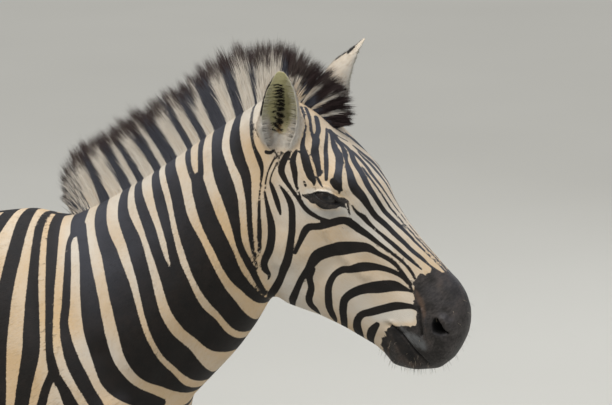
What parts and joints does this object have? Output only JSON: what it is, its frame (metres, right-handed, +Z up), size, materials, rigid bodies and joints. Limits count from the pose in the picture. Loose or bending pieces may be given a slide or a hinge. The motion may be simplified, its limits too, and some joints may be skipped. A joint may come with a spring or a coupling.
{
  "type": "zebra",
  "caption": "Life-size standing plains zebra, neck stretched forward and nose lowered as if browsing, with a striped coat, upright mane, tufted tail and dark hooves.",
  "frame": {"origin": "on the ground, under the middle of the outer box", "axes": "+X towards the head, +Y to the animal's left, +Z up"},
  "size_m": [1.9834, 0.526, 1.6519],
  "materials": {
    "coat": "short flat hair, near-black and buff-white stripes",
    "mane_hair": "stiff upright hair, striped like the neck, with dark brown tips",
    "tail_hair": "long straight dark hair",
    "horn": "ringed dark grey horn, slightly polished by wear",
    "eye": "wet dark brown eye"
  },
  "bodies": {
    "root": {"ear_left": "coat", "ear_right": "coat", "eye_left": "eye", "eye_right": "eye", "fore_left_hoof": "horn", "fore_left_lower": "coat", "fore_left_upper": "coat", "fore_right_hoof": "horn", "fore_right_lower": "coat", "fore_right_upper": "coat", "head": "coat", "hind_left_hoof": "horn", "hind_left_lower": "coat", "hind_left_upper": "coat", "hind_right_hoof": "horn", "hind_right_lower": "coat", "hind_right_upper": "coat", "mane": "mane_hair", "neck": "coat", "tail": "coat", "tail_brush": "tail_hair", "trunk": "coat"}
  },
  "joints": []
}
